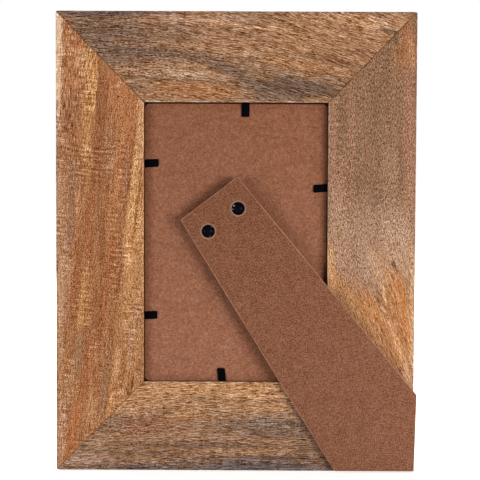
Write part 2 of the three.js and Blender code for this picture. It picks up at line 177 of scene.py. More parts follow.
def linear(tone):
    """A colour given as three 0 to 255 screen values, as the linear values that shaders take"""
    channels = [c / 255 for c in tone]
    return [c / 12.92 if c <= 0.04045 else ((c + 0.055) / 1.055) ** 2.4 for c in channels] + [1.0]


class Graph:
    """The nodes of a material or of the world, built by plain calls. An input is a number, a colour or
    a socket."""

    def __init__(self, owner):
        self.owner = owner
        owner.use_nodes = True
        self.tree = owner.node_tree
        self.tree.nodes.clear()

    def node(self, kind, inputs=None, **settings):
        made = self.tree.nodes.new(kind)
        for key, value in settings.items():
            setattr(made, key, value)
        for key, value in (inputs or {}).items():
            if isinstance(value, bpy.types.NodeSocket):
                self.tree.links.new(value, made.inputs[key])
            else:
                made.inputs[key].default_value = value
        return made

    def math(self, operation, a, b=0.0):
        return self.node("ShaderNodeMath", {0: a, 1: b}, operation=operation).outputs[0]

    def add(self, a, b):
        return self.math("ADD", a, b)

    def times(self, a, b):
        return self.math("MULTIPLY", a, b)

    def vector(self, x, y, z):
        return self.node("ShaderNodeCombineXYZ", {0: x, 1: y, 2: z}).outputs[0]

    def split(self, vector):
        return self.node("ShaderNodeSeparateXYZ", {0: vector}).outputs[:3]

    def scaled(self, vector, scale):
        made = self.node("ShaderNodeVectorMath", {0: vector, "Scale": scale}, operation="SCALE")
        return made.outputs[0]

    def length(self, vector):
        return self.node("ShaderNodeVectorMath", {0: vector}, operation="LENGTH").outputs["Value"]

    def distance(self, first, second):
        made = self.node("ShaderNodeVectorMath", {0: first, 1: second}, operation="DISTANCE")
        return made.outputs["Value"]

    def place(self):
        """Where a point of the object is, in millimetres from the frame's middle"""
        coordinates = self.node("ShaderNodeTexCoord").outputs["Object"]
        moved = self.node("ShaderNodeVectorMath", {0: coordinates, 1: (0, 0, -MIDDLE)}).outputs[0]
        return self.scaled(moved, 1 / MM)

    def noise(self, vector, size=1.0, detail=2.0, roughness=0.5):
        inputs = {"Vector": vector, "Scale": 1 / size, "Detail": detail, "Roughness": roughness}
        return self.node("ShaderNodeTexNoise", inputs).outputs[0]

    def swing(self, value, strength):
        """A noise's value, moved to lie about zero"""
        return self.times(self.add(value, -0.5), strength)

    def remap(self, value, low, high, new_low=0.0, new_high=1.0, kind="SMOOTHSTEP"):
        inputs = {0: value, 1: low, 2: high, 3: new_low, 4: new_high}
        return self.node("ShaderNodeMapRange", inputs, interpolation_type=kind).outputs[0]

    def mix(self, factor, first, second, blend="MIX"):
        inputs = {0: factor, 6: first, 7: second}
        settings = {"data_type": "RGBA", "blend_type": blend}
        return self.node("ShaderNodeMix", inputs, **settings).outputs[2]

    def green(self, colour):
        return self.node("ShaderNodeSeparateColor", {0: colour}).outputs[1]

    def tinted(self, colour, exponent, lift=(1.0, 1.35, 1.8), cast=(0.0, 0.0, 0.0)):
        """The colour made lighter or darker by a power of two, its darks warmer and its lights paler.
        A cast adds the same power everywhere, channel by channel."""
        powers = [self.add(self.times(exponent, share), more) for share, more in zip(lift, cast)]
        gains = [self.math("POWER", 2.0, power) for power in powers]
        gain = self.node("ShaderNodeCombineColor", dict(enumerate(gains))).outputs[0]
        return self.mix(1.0, colour, gain, "MULTIPLY")

    def deepened(self, value, reach):
        """A value about zero whose dark side reaches further than its light side"""
        power = self.math("POWER", 2.0, self.times(value, -reach))
        return self.times(self.math("SUBTRACT", 1.0, power), 1 / (reach * math.log(2)))

    def bump(self, height, depth):
        inputs = {"Strength": 1.0, "Distance": depth, "Height": height}
        return self.node("ShaderNodeBump", inputs).outputs[0]

    def surface(self, colour, roughness, specular=0.3, metallic=0.0, normal=None, **more):
        inputs = {"Base Color": colour, "Roughness": roughness, "Metallic": metallic,
                  "Specular IOR Level": specular}
        inputs.update({key.replace("_", " "): value for key, value in more.items()})
        if normal is not None:
            inputs["Normal"] = normal
        shader = self.node("ShaderNodeBsdfPrincipled", inputs)
        output = self.node("ShaderNodeOutputMaterial", {0: shader.outputs[0]})
        output.is_active_output = True
        return self.owner


def material_graph(name):
    return Graph(bpy.data.materials.new(name))


# Wood. A patch is a long soft-edged spot of another tone on one side of the frame: the place of its
# middle and its length and width in millimetres, how far it is turned from the grain, anticlockwise
# in degrees, its tone, and how strongly it covers what is under it.

LEFT_STILE_PATCHES = [
    # Broad fields: reddish outside, orange-brown inside, golden along the opening
    (-91, 92, 80, 12, -2, (186, 126, 86), 0.6),
    (-66, 64, 90, 22, 0, (182, 122, 80), 0.6),
    (-96, 22, 60, 9, 0, (182, 134, 100), 0.6),
    (-77, -32, 84, 14, -6, (168, 112, 72), 0.6),
    (-57, -30, 84, 12, -2, (190, 138, 92), 0.8),
    (-98, -106, 46, 6, 0, (192, 146, 112), 0.75),
    (-96, -18, 50, 8, 0, (190, 146, 112), 0.45),
    (-85, 100, 18, 8, -4, (204, 156, 110), 0.55),
    (-81, 2, 34, 9, -2, (148, 98, 66), 0.45),
    (-86, -60, 32, 11, -5, (144, 100, 70), 0.45),
    (-73, -24, 44, 8, -4, (148, 96, 62), 0.45),
    (-80, -95, 26, 8, -8, (188, 136, 96), 0.65),
    # Pale sapwood down the outer edge
    (-100.2, 106, 86, 6, 0, (228, 194, 164), 0.95),
    (-75, 2, 30, 5, 0, (146, 96, 64), 0.7),
    (-76, -42, 40, 5, 0, (148, 96, 62), 0.7),
    # Golden band from the upper mitre, with a dark seam and a reddish strip beside it
    (-80.8, 88, 46, 6.5, -4, (208, 154, 100), 0.8),
    (-83.4, 62, 34, 4.6, -4, (194, 140, 90), 0.65),
    (-76.6, 86, 44, 1.5, -4, (144, 90, 56), 0.8),
    (-75, 64, 66, 7, -3, (144, 92, 58), 0.85),
    (-77, 40, 44, 6, -1, (150, 98, 62), 0.8),
    (-92, 72, 28, 9, -3, (152, 102, 72), 0.75),
    # Greyish streaks and orange ones in the upper half
    (-70, 55, 30, 8, 0, (160, 116, 86), 0.6),
    (-71, 42, 30, 5, 0, (158, 112, 78), 0.6),
    (-60.8, 38, 32, 2, -2, (156, 114, 90), 0.75),
    (-57.5, 64, 30, 3, -4, (174, 112, 68), 0.6),
    (-91.5, 34, 26, 4.5, -2, (156, 116, 92), 0.7),
    (-92.8, 8, 30, 4, -2, (150, 110, 86), 0.75),
    (-88, 21, 15, 2.6, -2, (198, 148, 104), 0.7),
    (-82, 4, 44, 3.5, -3, (172, 106, 66), 0.65),
    # Golden inner edge with two thin brown lines
    (-54.5, 44, 70, 5, -3, (206, 156, 112), 0.85),
    (-57, 10, 54, 9, -6, (203, 149, 98), 0.9),
    (-54.8, 22, 50, 1.3, -7, (156, 104, 64), 0.8),
    (-59.8, 34, 68, 1.5, -7, (150, 97, 60), 0.8),
    (-57.2, 33, 80, 3.2, -7, (210, 160, 110), 0.8),
    # Reddish streaks, golden rippled ones and a long brown line in the lower half
    (-88.6, -14, 50, 4.2, -6, (164, 104, 68), 0.75),
    (-98.6, -20, 170, 4.6, 0, (186, 142, 108), 0.6),
    (-85.8, -34, 38, 4, -5, (200, 146, 94), 0.8),
    (-74, -36, 40, 3.5, -4, (166, 104, 64), 0.6),
    (-69.5, -10, 32, 3.2, -3, (162, 98, 62), 0.65),
    (-64.5, -19, 40, 1.8, -8, (156, 102, 64), 0.8),
    (-73, -76, 48, 3.2, -9, (152, 112, 82), 0.75),
    (-58, -57, 30, 4.5, -3, (182, 138, 104), 0.7),
    (-54.5, -42, 18, 4.5, 0, (158, 112, 78), 0.7),
    (-66.5, -69, 18, 5, -6, (206, 156, 110), 0.7),
    (-63, -84, 9, 3, -14, (212, 164, 118), 0.75),
    (-66.5, -89, 14, 6, -10, (208, 156, 112), 0.65),
    (-75, -101, 14, 8, -10, (186, 136, 96), 0.6),
    (-55, -78, 10, 5, -4, (188, 138, 98), 0.6),
    (-70, -92, 14, 2.8, -8, (202, 142, 92), 0.7),
    (-88, -63, 24, 5.5, -4, (156, 118, 86), 0.65),
    (-93, -80, 30, 5, -4, (176, 130, 94), 0.6),
    (-83.5, -72, 34, 4.5, -10, (172, 108, 70), 0.7),
    (-91.3, -106, 32, 5, -12, (182, 116, 70), 0.85),
    # A pit and two short dark checks
    (-65.4, 81.3, 1.1, 1.1, 0, (58, 34, 18), 1.0),
    (-57.6, -79.5, 9, 1.3, -11, (120, 74, 44), 0.95),
    (-60.8, -83.6, 6, 0.8, 10, (110, 70, 42), 0.8),
]

TOP_RAIL_PATCHES = [
    # Grey heartwood at the left, tan and honey at the right
    (-76, 113, 54, 26, -3, (120, 94, 76), 0.85),
    (55, 112, 96, 26, -8, (174, 128, 90), 0.65),
    (-2, 110, 46, 12, -6, (168, 126, 92), 0.8),
    (24, 103, 34, 7, -8, (168, 123, 86), 0.75),
    (-20, 85.5, 52, 9, 0, (174, 123, 84), 0.8),
    # Dark strip along the outer edge
    (-76, 127.6, 60, 5, 0, (112, 90, 78), 0.9),
    (4, 128.8, 30, 2.2, 0, (140, 108, 86), 0.3),
    # Long pale streak with a dark line under it
    (-22, 125.4, 60, 2.6, -1, (182, 144, 120), 0.75),
    (2, 121.8, 56, 3, -7, (202, 156, 120), 0.85),
    (-42, 121.5, 44, 1.6, -3, (124, 94, 74), 0.65),
    (-2, 117.8, 40, 1.6, -8, (130, 98, 74), 0.7),
    (-62, 111.5, 18, 3, -8, (156, 116, 86), 0.5),
    (-32, 118, 28, 4, -4, (134, 102, 80), 0.75),
    # Grey band across the middle that bends down to the right
    (-48, 105.5, 46, 5.5, -3, (120, 95, 78), 0.8),
    (-16, 101.5, 34, 4.4, -9, (132, 104, 84), 0.8),
    (-1, 96, 34, 6.5, -14, (120, 94, 76), 0.9),
    (-40, 100.5, 34, 2.6, 0, (142, 108, 84), 0.6),
    # Light speckled strip, a dark one, and a golden one above the opening
    (-32, 95, 40, 5.5, 0, (182, 144, 112), 0.8),
    (22, 95, 24, 4, -12, (146, 112, 86), 0.75),
    (31, 87.6, 66, 10, -4, (106, 84, 68), 0.9),
    (22, 82, 34, 4, 0, (116, 94, 78), 0.75),
    (44, 97.5, 50, 4, -8, (174, 124, 82), 0.8),
    (13, 93, 15, 5, -10, (158, 120, 86), 0.65),
    (-12, 92, 18, 6, -4, (176, 138, 110), 0.55),
    (54, 102, 36, 4.4, -12, (136, 96, 66), 0.85),
    (-57, 87, 13, 4, 0, (124, 98, 80), 0.7),
    (-62, 96, 24, 4.5, -3, (174, 130, 96), 0.55),
    # Slanting streaks in the upper right corner, with one dark spot
    (56, 116, 26, 6, -12, (190, 146, 112), 0.55),
    (51, 107, 15, 5, -8, (138, 98, 66), 0.75),
    (74, 105, 22, 8, -10, (140, 98, 70), 0.45),
    (7, 123, 24, 3, -5, (148, 112, 86), 0.6),
    (-62, 101, 16, 6, 0, (128, 98, 76), 0.5),
    (40, 118, 44, 1.8, -11, (158, 114, 82), 0.6),
    (60, 112, 40, 1.8, -13, (160, 116, 84), 0.6),
    (73, 123.5, 34, 7, -10, (204, 160, 122), 0.75),
    (92, 124, 16, 9, -10, (176, 128, 92), 0.8),
    (62, 123, 34, 2.2, -12, (204, 154, 112), 0.55),
    (75, 107, 12, 3.4, -16, (156, 108, 80), 0.6),
    (85, 118.4, 9, 2, -8, (104, 82, 66), 0.9),
]

RIGHT_STILE_PATCHES = [
    # Broad fields: taupe above, beige in the middle, honey-orange below
    (74, -4, 54, 44, 0, (170, 133, 107), 0.8),
    (80, -54, 62, 22, 26, (180, 128, 87), 0.9),
    (61, -27, 40, 8, 34, (174, 124, 82), 0.85),
    (92, -38, 64, 15, 10, (184, 130, 86), 0.85),
    (93, 113, 34, 12, 3, (158, 107, 72), 0.75),
    (97, 64, 76, 7, 1, (162, 117, 90), 0.65),
    # Lighter lengthwise stripes above
    (54.5, 52, 70, 5, 0, (160, 120, 93), 0.8),
    (64.6, 54, 74, 3.6, 0, (158, 118, 90), 0.65),
    (87, 40, 26, 8, 2, (164, 126, 99), 0.6),
    (60, 36, 34, 6, 0, (162, 122, 95), 0.6),
    # Brown and dark spots
    (92, 106, 9, 4.5, 6, (148, 96, 56), 0.65),
    (98, 106, 18, 3, 6, (198, 142, 96), 0.55),
    (88.6, 114, 7, 3, 8, (108, 92, 72), 0.85),
    (78, 25, 12, 7, 0, (136, 101, 80), 0.65),
    (91.6, 18, 16, 3.6, 0, (142, 106, 84), 0.65),
    (82, 90, 40, 8, 0, (136, 100, 74), 0.5),
    (70, 103, 14, 9, 0, (132, 98, 72), 0.5),
    (97, 26, 24, 6, 0, (178, 132, 100), 0.5),
    # Pale beige shoulder and the knot under it
    (91, 2, 38, 17, 3, (182, 146, 118), 0.7),
    (97, -6, 34, 6, 3, (190, 152, 122), 0.6),
    (79, -13, 22, 8, 16, (190, 152, 119), 0.75),
    (89, -11.9, 4.4, 2.2, 10, (84, 74, 66), 0.9),
    (90.6, -15.6, 3.4, 1.5, 10, (104, 88, 74), 0.8),
    # Leaning honey and reddish streaks with one pale one
    (77, -38, 20, 9, 22, (186, 128, 80), 0.7),
    (97, -46, 46, 3.6, 8, (198, 138, 86), 0.7),
    (94, -36, 40, 6, 12, (192, 128, 80), 0.65),
    (91.5, -56, 36, 2.7, 22, (216, 164, 116), 0.85),
    (87, -58, 30, 1.6, 22, (176, 120, 76), 0.6),
    (83.5, -28, 12, 1.8, 14, (212, 166, 122), 0.7),
    (100, -46, 80, 4, 0, (214, 168, 130), 0.7),
    (97, -76, 16, 4, 10, (214, 166, 126), 0.7),
    (54, -16, 34, 5, 4, (206, 154, 106), 0.85),
    (65, -36, 26, 6, 24, (174, 126, 84), 0.6),
    (58, 8, 46, 10, 4, (176, 138, 108), 0.7),
]

BOTTOM_RAIL_PATCHES = [
    # Honey along the opening
    (-12, -82, 104, 10, 0, (190, 140, 96), 0.9),
    (-54, -89, 46, 16, 0, (190, 140, 98), 0.85),
    (14, -86.5, 36, 3, 0, (206, 156, 112), 0.7),
    (-8, -92, 90, 9, 0, (178, 134, 96), 0.75),
    (-30, -98, 22, 4, 0, (194, 142, 96), 0.75),
    (22, -93.5, 26, 3.4, 0, (186, 136, 92), 0.65),
    (14, -98, 34, 3, 0, (168, 126, 92), 0.6),
    # Reddish-brown and grey mottles at the left
    (-46, -103, 40, 9, 0, (156, 108, 78), 0.7),
    (-69, -103, 12, 6, 0, (146, 114, 88), 0.7),
    (-55, -107, 18, 4, 0, (158, 110, 80), 0.65),
    (-50, -102, 9, 2.6, 0, (112, 74, 46), 0.7),
    (-62, -113, 14, 4, 0, (142, 96, 68), 0.65),
    (-86, -115, 8, 3, 0, (104, 80, 64), 0.8),
    (-80, -121, 26, 3.4, 0, (176, 138, 112), 0.75),
    (-87, -124.5, 24, 4, 0, (192, 156, 130), 0.7),
    (-67, -110, 10, 5, 0, (174, 130, 98), 0.6),
    (-42, -95, 14, 6, 0, (140, 100, 70), 0.6),
    # Grey patch at the right
    (20, -102.5, 52, 8, 0, (134, 110, 92), 0.85),
    (24, -108.5, 40, 4, 0, (124, 96, 78), 0.75),
    # Tan and dark lines below, and the painted shadow of the stand's left edge where it crosses the rail
    (-22, -110.5, 80, 4, 0, (164, 124, 94), 0.6),
    (-16, -114.6, 80, 2.4, 0, (116, 88, 70), 0.75),
    (8, -118, 84, 3, 0, (174, 130, 94), 0.7),
    (-38, -119, 48, 4, 0, (128, 95, 72), 0.7),
    (22, -121.6, 70, 2, 0, (104, 84, 74), 0.85),
    (-3, -123.5, 24, 4, 0, (150, 122, 104), 0.6),
    (-9, -112, 18, 9, 0, (136, 104, 82), 0.4),
    # This patch is painted shadow of the stand's left edge
    (35, -102, 8, 6, 0, (108, 80, 62), 0.6),
    (0, -126.6, 160, 6, 0, (124, 102, 89), 0.9),
    (-55, -127.6, 16, 1.6, 0, (86, 76, 78), 0.8),
    (14, -126, 56, 5, 0, (102, 89, 84), 0.8),
    # This patch is painted shadow of the stand's left edge
    (41, -116, 16, 9, 0, (124, 94, 70), 0.65),
]


# How each side's grain runs. An upright side has it along Z, and `sign` is the side of the middle that
# it lies on. `slope` is how much the grain climbs across the side for each unit along it, at the middle,
# `bend` is how much that changes in a millimetre, and `waver` is how far it strays. `pore` is a pore's
# length, width and darkness. A layer is the length and width of its marks in millimetres and their
# strength, first on most of the side and then in its zone, a part where the grain looks different.
RAIL_LAYERS = [(60, 3.0, 1.2, 1.0), (18, 1.2, 1.5, 1.6), (8, 0.4, 3.8, 2.4), (3.4, 0.38, 4.6, 4.8),
               (1.2, 0.38, 3.8, 5.2)]
SIDES = {
    "left_stile": {
        "upright": True, "sign": -1, "patches": LEFT_STILE_PATCHES,
        "tone": (172, 119, 78), "other_tone": (158, 108, 72), "level": -0.24,
        "slope": 0.08, "bend": 0.0, "waver": 0.5, "ripple": 1.1,
        "pore": (2.4, 0.55, 0.7), "zone": (-92, 96, 90, 26),
        "layers": [(70, 3.2, 0.9, 0.9), (16, 1.4, 1.4, 1.2), (6, 0.4, 2.2, 5.2), (1.3, 0.5, 2.6, 2.4),
                   (0.6, 0.45, 5.4, 4.4)],
    },
    "right_stile": {
        "upright": True, "sign": 1, "patches": RIGHT_STILE_PATCHES,
        "tone": (137, 103, 77), "other_tone": (146, 108, 82), "level": -0.16,
        "slope": -0.25, "bend": 0.003, "waver": 0.5, "ripple": 0.25,
        "pore": (1.8, 0.55, 0.8), "zone": (88, -52, 90, 44),
        "layers": [(70, 3.2, 0.6, 0.7), (16, 1.2, 0.8, 1.6), (7, 0.45, 0.6, 3.4), (2.4, 0.42, 3.6, 1.8),
                   (0.9, 0.42, 4.2, 1.6)],
    },
    "top_rail": {
        "upright": False, "sign": 1, "patches": TOP_RAIL_PATCHES,
        "tone": (166, 124, 90), "other_tone": (148, 113, 86), "level": -0.2,
        "slope": -0.18, "bend": -0.0018, "waver": 0.6, "ripple": 0.2,
        "pore": (7, 0.4, 1.1), "zone": (-66, 108, 80, 44), "layers": RAIL_LAYERS,
    },
    "bottom_rail": {
        "upright": False, "sign": -1, "patches": BOTTOM_RAIL_PATCHES,
        "tone": (160, 121, 89), "other_tone": (146, 112, 86), "level": -0.14,
        "slope": 0.0, "bend": 0.0, "waver": 0.6, "ripple": 0.2,
        "pore": (7, 0.4, 1.1), "zone": (-58, -104, 40, 22), "layers": RAIL_LAYERS,
    },
}


def grain(g, along, across, depth, size, seed):
    """Coordinates in which noise of size 1 makes marks of that length and width along the grain"""
    length, width = size
    return g.vector(g.add(g.times(along, 1 / length), seed), g.times(across, 1 / width),
                    g.times(depth, 1 / width))


def centred(g, where, strength, detail=2.0, roughness=0.5):
    """Noise about zero"""
    return g.swing(g.noise(where, detail=detail, roughness=roughness), strength)


def patch_mask(g, place, x, z, length, width, turn):
    """1 in the middle of a patch and 0 outside it"""
    inputs = {"Vector": place, "Location": (x, z, 0), "Rotation": (0, 0, math.radians(turn)),
              "Scale": (length / 2, width / 2, 1)}
    local = g.node("ShaderNodeMapping", inputs, vector_type="TEXTURE").outputs[0]
    return g.remap(g.length(local), 1 + PATCH_SOFTNESS, 1 - PATCH_SOFTNESS)


def past_rectangle(g, x, z, half_width, half_height):
    """How far a point is outside a rectangle round the frame's middle, below zero inside it"""
    past_x = g.add(g.math("ABSOLUTE", x), -half_width)
    past_z = g.add(g.math("ABSOLUTE", z), -half_height)
    return g.math("MAXIMUM", past_x, past_z)


def patched(g, colour, straight, along, upright, fray, patches):
    """The colour with the patches laid over it. Thin patches keep their outline, wide ones fray, and
    each dozen of them shifts a little with the tones laid before it."""
    for first in range(0, len(patches), PATCHES_AT_ONCE):
        exact = g.add(straight, g.green(colour))
        loose = g.add(exact, fray)
        exact_place = g.vector(exact, along, 0.0) if upright else g.vector(along, exact, 0.0)
        loose_place = g.vector(loose, along, 0.0) if upright else g.vector(along, loose, 0.0)
        for x, z, length, width, turn, tone, strength in patches[first:first + PATCHES_AT_ONCE]:
            where = exact_place if width < THIN_PATCH else loose_place
            mask = patch_mask(g, where, x, z, length, width, turn + 90 if upright else turn)
            colour = g.mix(g.times(mask, strength), colour, linear(tone))
    return colour


def side_extents(upright):
    """How far the outer edge and the wall are from the middle, across a side and then along it"""
    across, along = (RIGHT, WALL_X), (TOP - MIDDLE, WALL_Z)
    return (across, along) if upright else (along, across)


def side_stain_and_highlight(g, x, z, along, straight, depth, upright, from_opening):
    """How much darker a side is at its mitres, more at the top, and how much lighter along the
    opening, where a painted highlight lies on the arris, as powers of two"""
    (half_across, wall_across), (half_along, wall_along) = side_extents(upright)
    mitre = (half_along - wall_along) / (half_across - wall_across)
    mitre_start = (half_along - mitre * half_across) / MM
    reach = g.add(g.times(g.math("ABSOLUTE", straight), mitre), mitre_start)
    from_mitre = g.math("SUBTRACT", reach, g.math("ABSOLUTE", along))
    broken = g.noise(g.vector(x, z, depth), 4.0, detail=2)
    dirt = g.times(g.remap(broken, 0.35, 0.6, 0.3, 1.0), g.remap(z, -80, 80, 0.4, 1.0))
    stain = g.times(g.remap(from_mitre, 0.7, 0.3), dirt)
    # Painted highlight along the opening's arris on the rear face
    arris = g.times(g.remap(from_opening, 0.9, 0.4), g.remap(depth, 1.0, 0.5))
    return g.math("SUBTRACT", g.times(arris, ARRIS_HIGHLIGHT), g.times(stain, MITRE_STAIN))


def wood(name, upright, sign, patches, tone, other_tone, level, slope, bend, waver, ripple, pore, zone,
         layers):
    """One side's wood, from its row in SIDES"""
    g = material_graph(name)
    seed = SIDE_SEED_STEP * list(SIDES).index(name)
    x, y, z = g.split(g.place())
    depth = g.add(y, -REAR / MM)
    along, straight = (z, x) if upright else (x, z)
    slanted = g.add(straight, g.times(depth, -sign * DEPTH_SLANT))
    wander = centred(g, grain(g, along, slanted, depth, WANDER_SIZE, seed), 9.0 * waver)
    wiggle = centred(g, grain(g, along, slanted, depth, WIGGLE_SIZE, seed + 5), 1.8 * waver)
    climb = g.times(g.add(g.times(along, bend / 2), slope), along)
    across = g.add(g.math("SUBTRACT", slanted, climb), g.add(wander, wiggle))
    run = g.add(along, g.times(g.add(g.times(along, bend), slope), slanted))

    def marks_of(size, offset):
        """Coordinates for marks of that size, which follow the grain"""
        return grain(g, run, across, depth, size, seed + offset)

    # Broad tones
    hue = g.noise(marks_of(HUE_SIZE, 9), detail=3)
    colour = g.mix(g.remap(hue, 0.4, 0.62), linear(tone), linear(other_tone))
    coarse_fray = centred(g, marks_of(COARSE_FRAY_SIZE, 13), 5.0, detail=3)
    fine_fray = centred(g, marks_of(FINE_FRAY_SIZE, 15), 3.0)
    colour = patched(g, colour, slanted, along, upright, g.add(coarse_fray, fine_fray), patches)

    # Grain lines and flecks, calmer where the wood is pale
    zone_place = g.vector(slanted, along, 0.0) if upright else g.vector(along, slanted, 0.0)
    in_zone = patch_mask(g, zone_place, *zone, 90 if upright else 0)
    marks = 0.0
    for i, (length, width, usual, zonal) in enumerate(layers):
        detail = 3.0 if length > 10 else 1.0
        strength = g.remap(in_zone, 0.0, 1.0, usual, zonal, "LINEAR")
        where = marks_of((length, width), 17 + 4 * i)
        marks = g.add(marks, centred(g, where, strength, detail=detail, roughness=0.6))
    calm = g.remap(g.green(colour), 0.36, 0.5, 1.0, 0.4)
    lines = g.deepened(g.times(marks, calm), WOOD_DARK_REACH)

    # Pores, cross ripples and wear
    pore_length, pore_width, pore_strength = pore
    pores = g.noise(marks_of((pore_length, pore_width), 49), detail=0.5)
    pore_mask = g.times(g.remap(pores, 0.54, 0.68), calm)
    ripples = g.noise(marks_of(RIPPLE_SIZE, 53), detail=1)
    ripple_area = g.remap(g.noise(marks_of(RIPPLE_AREA_SIZE, 57)), 0.42, 0.62)
    rippling = g.swing(ripples, g.times(ripple_area, 2.4 * ripple))
    from_opening = past_rectangle(g, x, z, WALL_X / MM, WALL_Z / MM)
    # Darker mitres, and a painted highlight along the opening's arris
    wear = side_stain_and_highlight(g, x, z, along, straight, depth, upright, from_opening)
    exponent = g.math("SUBTRACT", g.add(wear, lines), g.times(pore_mask, pore_strength))
    exponent = g.add(exponent, g.add(rippling, level))
    finished = g.tinted(colour, exponent, WOOD_LIFT, WOOD_CAST)

    # The rabbet's wall is bare, and painted dark from the backing's rear face to the ledge as painted
    # shade in the narrow gap beside the backing
    past_backing = g.remap(depth, BACKING_DEPTH - 0.1, BACKING_DEPTH + 0.5)
    to_ledge = g.remap(depth, LEDGE_DEPTH + 0.4, LEDGE_DEPTH)
    rabbet_shade = g.times(g.times(past_backing, to_ledge), g.remap(from_opening, 0.6, 0.2))
    finished = g.mix(g.times(rabbet_shade, 0.85), finished, linear(RABBET_SHADE_TONE))
    height = g.math("SUBTRACT", g.times(exponent, 0.2), pore_mask)
    return g.surface(finished, 0.55, specular=0.05, normal=g.bump(height, 0.05 * MM))


def hardboard(name, tone, grit_strength, seed, rings=(), rim_shade=0.0):
    """Pressed wood fibre: a soft mottle, fine grit, dark and pale specks, and pale fibres that lie two
    ways. Each ring is where a rivet's head has burnished it. Painted light makes it paler towards the
    foot and darker towards the top, and painted shade may darken the rim by the walls."""
    g = material_graph(name)
    x, depth, z = g.split(g.place())
    place = g.vector(g.add(x, seed), depth, z)
    mottle = g.noise(place, 7.0, detail=3)
    grit = g.noise(place, 0.7, detail=1, roughness=0.7)
    clumps = g.noise(place, 2.0, detail=1)
    fibres = g.noise(g.vector(g.times(x, 0.4), g.times(depth, 0.4), g.times(z, 1.1)), 0.8, detail=2)
    exponent = g.add(g.swing(mottle, 0.4), g.swing(grit, grit_strength))
    exponent = g.add(exponent, g.swing(clumps, 0.7))
    exponent = g.add(exponent, g.swing(fibres, 0.3 * grit_strength))
    # Painted light: the board is paler towards its foot and darker towards its top
    painted_light_towards_foot = g.times(z, -0.0018)
    exponent = g.add(g.deepened(exponent, HARDBOARD_DARK_REACH), painted_light_towards_foot)
    # Painted shade along the walls, darker near them, as the walls' shadow would fall on the board
    from_wall = past_rectangle(g, x, z, WALL_X / MM, WALL_Z / MM)
    exponent = g.add(exponent, g.remap(from_wall, -6.0, -0.5, 0.0, -rim_shade))
    colour = g.tinted(linear(tone), exponent)
    for spacing, radius, share, speck_tone in SPECKS:
        cells = g.node("ShaderNodeTexVoronoi", {"Vector": place, "Scale": 1 / spacing})
        chosen = g.math("LESS_THAN", g.split(cells.outputs["Color"])[0], share)
        inside = g.remap(g.times(cells.outputs["Distance"], spacing), radius, 0.4 * radius)
        colour = g.mix(g.times(g.times(inside, chosen), 0.8), colour, linear(speck_tone))
    for slant in HAIR_SLANTS:
        hair_run = g.times(g.add(x, g.times(z, slant)), 0.4)
        hair_across = g.times(g.add(z, g.times(x, -slant)), 2.6)
        hairs = g.noise(g.vector(g.add(hair_run, seed), hair_across, depth), detail=1)
        colour = g.mix(g.times(g.remap(hairs, 0.66, 0.74), 0.28), colour, linear(HAIR_TONE))
    for ring_x, ring_z, radius in rings:
        from_axis = g.distance(g.vector(x, z, 0.0), (ring_x, ring_z, 0))
        burnished = g.remap(from_axis, radius + 1.2, radius + 0.4)
        colour = g.mix(g.times(burnished, 0.55), colour, linear(BURNISHED_TONE))
    return g.surface(colour, 0.85, specular=0.05, normal=g.bump(grit, 0.03 * MM))


def cut_edge(name):
    """The broken edge of a hardboard piece, where pale fibres stand up"""
    g = material_graph(name)
    place = g.place()
    fuzz = g.noise(place, 0.7, detail=3, roughness=0.7)
    worn = g.noise(place, 9.0, detail=2)
    colour = g.tinted(linear(CUT_EDGE_TONE), g.add(g.swing(fuzz, 1.4), g.swing(worn, 1.2)))
    return g.surface(colour, 0.9, specular=0.1, normal=g.bump(fuzz, 0.05 * MM))


def enamel(name):
    """Black enamel over steel, with faint orange peel and a few rubbed spots"""
    g = material_graph(name)
    place = g.place()
    peel = g.noise(place, 0.6, detail=1)
    rubbed = g.remap(g.noise(place, 1.4, detail=4, roughness=0.7), 0.64, 0.74)
    colour = g.mix(g.times(rubbed, 0.15), linear(ENAMEL_TONE), linear(RUBBED_TONE))
    rough = g.remap(peel, 0.3, 0.7, 0.425, 0.6)
    return g.surface(colour, rough, specular=0.01, normal=g.bump(peel, 0.01 * MM))


def rivet_gloss(name, node, glints):
    """Black lacquer that turns blue-black at the crown, with small painted glints where the dome catches
    the light
    """
    g = material_graph(name)
    x, _, z = g.split(g.place())
    rivet_x, rivet_z, radius = rivet_place(node)
    from_axis = g.vector(g.add(x, -rivet_x), g.add(z, -rivet_z), 0.0)
    crown = g.remap(g.length(from_axis), 0.75 * radius, 0.2 * radius)
    colour = g.mix(crown, linear(LACQUER_TONE), linear(CROWN_TONE))
    uneven = g.noise(g.place(), 0.5, detail=2)
    # Painted glints: pale spots that stand in for the lamps' reflections on the dome
    for glint_x, glint_z, glint_radius, tone in glints:
        reach = g.add(g.distance(from_axis, (glint_x, glint_z, 0)), g.swing(uneven, 0.9))
        inside = g.remap(reach, glint_radius, 0.5 * glint_radius)
        colour = g.mix(inside, colour, linear(tone))
    return g.surface(colour, 0.12, specular=0.02, normal=g.bump(uneven, 0.01 * MM))


def zinc(name):
    """Zinc plate over stamped steel: faint spangle, fine scratches and a dull yellowish cast"""
    g = material_graph(name)
    place = g.place()
    spangle = g.noise(place, 2.2, detail=3)
    x, depth, z = g.split(place)
    scratch_run = g.times(g.add(x, z), 0.15)
    scratch_across = g.times(g.math("SUBTRACT", z, x), 3.0)
    scratches = g.noise(g.vector(scratch_run, scratch_across, depth), 1.0)
    colour = g.mix(g.remap(spangle, 0.35, 0.65), linear(ZINC_TONE), linear(DULL_ZINC_TONE))
    rough = g.remap(scratches, 0.3, 0.7, 0.26, 0.44)
    return g.surface(colour, rough, metallic=0.9, normal=g.bump(scratches, 0.01 * MM))


